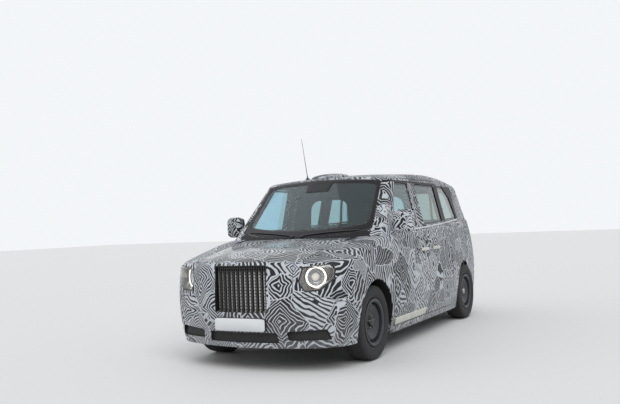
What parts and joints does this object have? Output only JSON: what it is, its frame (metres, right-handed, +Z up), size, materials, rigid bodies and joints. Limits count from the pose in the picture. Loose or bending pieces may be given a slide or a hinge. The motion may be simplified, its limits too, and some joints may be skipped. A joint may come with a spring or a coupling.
{
  "type": "taxi cab",
  "caption": "Tall purpose-built taxi cab with an upright grille, round lamps, rear-hinged passenger doors, a partition and a boxy greenhouse.",
  "frame": {"origin": "on the ground under the middle of the cab, centre of the bounding box's bottom", "axes": "+X forwards, +Y to the cab's left, +Z up"},
  "size_m": [4.8563, 2.2214, 2.2647],
  "materials": {
    "wrapped_paint": "satin film with black and white line work",
    "mirror_housing": "satin film",
    "window_glass": "tinted",
    "lamp_glass": "clear",
    "lamp_red": "red",
    "lamp_bowl": "metallised",
    "black_trim": "fine grain",
    "roof_film": "satin film",
    "floor_metal": "coated",
    "steel": "dull",
    "battery": "satin",
    "engine": "rough",
    "tyre_rubber": "matt",
    "wheel_paint": "satin",
    "cabin_plastic": "fine grain",
    "seat_fabric": "woven"
  },
  "bodies": {
    "body": {"body_shell": "wrapped_paint", "front_wings": "wrapped_paint", "front_bumper": "wrapped_paint", "rear_bumper": "wrapped_paint", "fixed_glass": "window_glass", "headlamp_lenses": "lamp_glass", "tail_lamps": "lamp_red", "headlamp_housings": "lamp_bowl", "grille": "black_trim", "front_liners": "black_trim", "undertray": "black_trim", "aerial": "black_trim", "wipers": "black_trim", "roof_sign": "roof_film", "floor_pan": "floor_metal", "boot_floor": "floor_metal", "front_suspension": "steel", "rear_axle": "steel", "battery_pack": "battery", "engine_block": "engine", "dashboard": "cabin_plastic", "partition": "cabin_plastic", "driver_seat": "seat_fabric", "rear_bench": "seat_fabric"},
    "bonnet": {"bonnet": "wrapped_paint"},
    "tailgate": {"tailgate": "wrapped_paint", "tailgate_glass": "window_glass"},
    "door_front_left": {"door_front_left": "wrapped_paint", "door_front_glass_left": "window_glass", "mirror_left": "mirror_housing"},
    "door_front_right": {"door_front_right": "wrapped_paint", "door_front_glass_right": "window_glass", "mirror_right": "mirror_housing"},
    "door_rear_left": {"door_rear_left": "wrapped_paint", "door_rear_glass_left": "window_glass"},
    "door_rear_right": {"door_rear_right": "wrapped_paint", "door_rear_glass_right": "window_glass"},
    "knuckle_left": {"knuckle_left": "steel"},
    "knuckle_right": {"knuckle_right": "steel"},
    "wheel_front_left": {"tyre_front_left": "tyre_rubber", "rim_front_left": "wheel_paint"},
    "wheel_front_right": {"tyre_front_right": "tyre_rubber", "rim_front_right": "wheel_paint"},
    "wheel_rear_left": {"tyre_rear_left": "tyre_rubber", "rim_rear_left": "wheel_paint"},
    "wheel_rear_right": {"tyre_rear_right": "tyre_rubber", "rim_rear_right": "wheel_paint"},
    "steering_wheel": {"steering_wheel": "cabin_plastic"},
    "jump_seat_left": {"jump_seat_left": "seat_fabric"},
    "jump_seat_centre": {"jump_seat_centre": "seat_fabric"},
    "jump_seat_right": {"jump_seat_right": "seat_fabric"}
  },
  "joints": [
    {"name": "door_front_left_hinge", "type": "hinge", "parent": "body", "child": "door_front_left", "pos_m": [1.061, 0.924, 0.7], "axis": [0, 0, -1], "range_deg": [0, 68]},
    {"name": "door_rear_left_hinge", "type": "hinge", "parent": "body", "child": "door_rear_left", "pos_m": [-0.816, 0.924, 0.7], "axis": [0, 0, 1], "range_deg": [0, 90]},
    {"name": "door_front_right_hinge", "type": "hinge", "parent": "body", "child": "door_front_right", "pos_m": [1.061, -0.924, 0.7], "axis": [0, 0, 1], "range_deg": [0, 68]},
    {"name": "door_rear_right_hinge", "type": "hinge", "parent": "body", "child": "door_rear_right", "pos_m": [-0.816, -0.924, 0.7], "axis": [0, 0, -1], "range_deg": [0, 90]},
    {"name": "tailgate_hinge", "type": "hinge", "parent": "body", "child": "tailgate", "pos_m": [-2.10267, 0, 1.712], "axis": [0, 1, 0], "range_deg": [0, 80]},
    {"name": "bonnet_hinge", "type": "hinge", "parent": "body", "child": "bonnet", "pos_m": [1.385, 0, 1.11381], "axis": [0, -1, 0], "range_deg": [0, 33]},
    {"name": "steer_left", "type": "hinge", "parent": "body", "child": "knuckle_left", "pos_m": [1.5285, 0.757, 0.345], "axis": [0, 0, 1], "range_deg": [-33, 33]},
    {"name": "steer_right", "type": "hinge", "parent": "body", "child": "knuckle_right", "pos_m": [1.5285, -0.757, 0.345], "axis": [0, 0, 1], "range_deg": [-33, 33]},
    {"name": "wheel_front_left_spin", "type": "hinge", "parent": "knuckle_left", "child": "wheel_front_left", "pos_m": [1.5285, 0.7975, 0.345], "axis": [0, 1, 0], "continuous": true},
    {"name": "wheel_rear_left_spin", "type": "hinge", "parent": "body", "child": "wheel_rear_left", "pos_m": [-1.4565, 0.7975, 0.345], "axis": [0, 1, 0], "continuous": true},
    {"name": "wheel_front_right_spin", "type": "hinge", "parent": "knuckle_right", "child": "wheel_front_right", "pos_m": [1.5285, -0.7975, 0.345], "axis": [0, 1, 0], "continuous": true},
    {"name": "wheel_rear_right_spin", "type": "hinge", "parent": "body", "child": "wheel_rear_right", "pos_m": [-1.4565, -0.7975, 0.345], "axis": [0, 1, 0], "continuous": true},
    {"name": "steering_wheel_turn", "type": "hinge", "parent": "body", "child": "steering_wheel", "pos_m": [0.64, 0.385, 1.01], "axis": [-0.8829, 0, 0.4695], "range_deg": [-500, 500]},
    {"name": "jump_seat_left_fold", "type": "hinge", "parent": "body", "child": "jump_seat_left", "pos_m": [-0.17, 0.48, 0.7], "axis": [0, -1, 0], "range_deg": [0, 85]},
    {"name": "jump_seat_centre_fold", "type": "hinge", "parent": "body", "child": "jump_seat_centre", "pos_m": [-0.17, 0, 0.7], "axis": [0, -1, 0], "range_deg": [0, 85]},
    {"name": "jump_seat_right_fold", "type": "hinge", "parent": "body", "child": "jump_seat_right", "pos_m": [-0.17, -0.48, 0.7], "axis": [0, -1, 0], "range_deg": [0, 85]}
  ],
  "couplings": [
    {"joint": "steer_right", "follows": "steer_left", "ratio": 1},
    {"joint": "steering_wheel_turn", "follows": "steer_left", "ratio": 15}
  ]
}
